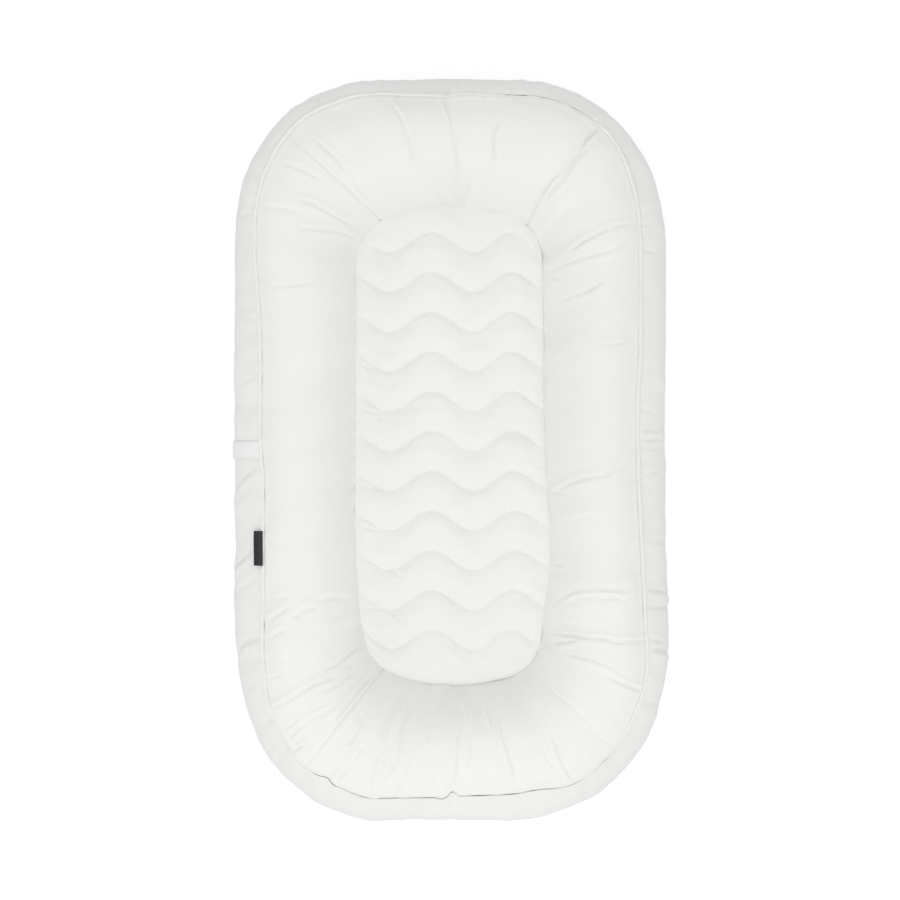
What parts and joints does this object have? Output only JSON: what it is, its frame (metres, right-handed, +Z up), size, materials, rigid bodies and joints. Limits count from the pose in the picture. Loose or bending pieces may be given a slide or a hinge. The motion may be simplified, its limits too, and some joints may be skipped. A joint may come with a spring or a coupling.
{
  "type": "infant lounger",
  "caption": "Low oblong lounger for an infant: a soft ring bolster with gathered cover panels round a wave-quilted sleep pad, with a zip in the side band.",
  "frame": {"origin": "centre of the lounger's outline, on the floor under the base panel", "axes": "+Z up, +Y towards the head end, +X to the right when the lounger is seen from above with the head end up"},
  "size_m": [0.4549, 0.78, 0.1188],
  "materials": {
    "cover_cotton": "soft woven cotton",
    "quilt_cotton": "quilted cotton",
    "band_cotton": "soft woven cotton",
    "base_cotton": "plain woven cotton",
    "liner_cloth": "nonwoven liner",
    "fibre_filling": "loose polyester fibre",
    "foam_core": "open-cell foam",
    "zip_tape": "woven polyester tape",
    "zip_nylon": "nylon coil",
    "zip_metal": "white enamel",
    "tab_tape": "smooth woven tape",
    "label_satin": "black satin, bare"
  },
  "bodies": {
    "lounger": {"bolster_filling": "fibre_filling", "bolster_liner": "liner_cloth", "mattress_core": "foam_core", "quilted_pad": "quilt_cotton", "top_panel_right": "cover_cotton", "top_panel_head": "cover_cotton", "top_panel_left": "cover_cotton", "top_panel_foot": "cover_cotton", "top_piping": "cover_cotton", "side_band_foot": "band_cotton", "zip_band_upper": "band_cotton", "zip_band_lower": "band_cotton", "zip_tape_upper": "zip_tape", "zip_tape_lower": "zip_tape", "zip_elements_upper": "zip_nylon", "zip_elements_lower": "zip_nylon", "zip_end_stop": "zip_metal", "zip_garage_tab": "tab_tape", "side_label": "label_satin", "base_panel": "base_cotton"},
    "slider": {"zip_slider": "zip_metal"},
    "pull": {"zip_pull": "zip_metal"}
  },
  "joints": [
    {"name": "slider_slide", "type": "slide", "parent": "lounger", "child": "slider", "axis": [0, 1, 0], "range_m": [0, 0.165]},
    {"name": "pull_hinge", "type": "hinge", "parent": "slider", "child": "pull", "pos_m": [-0.22498, 0.01915, 0.046], "axis": [0, 0, 1], "range_deg": [0, 150]}
  ]
}
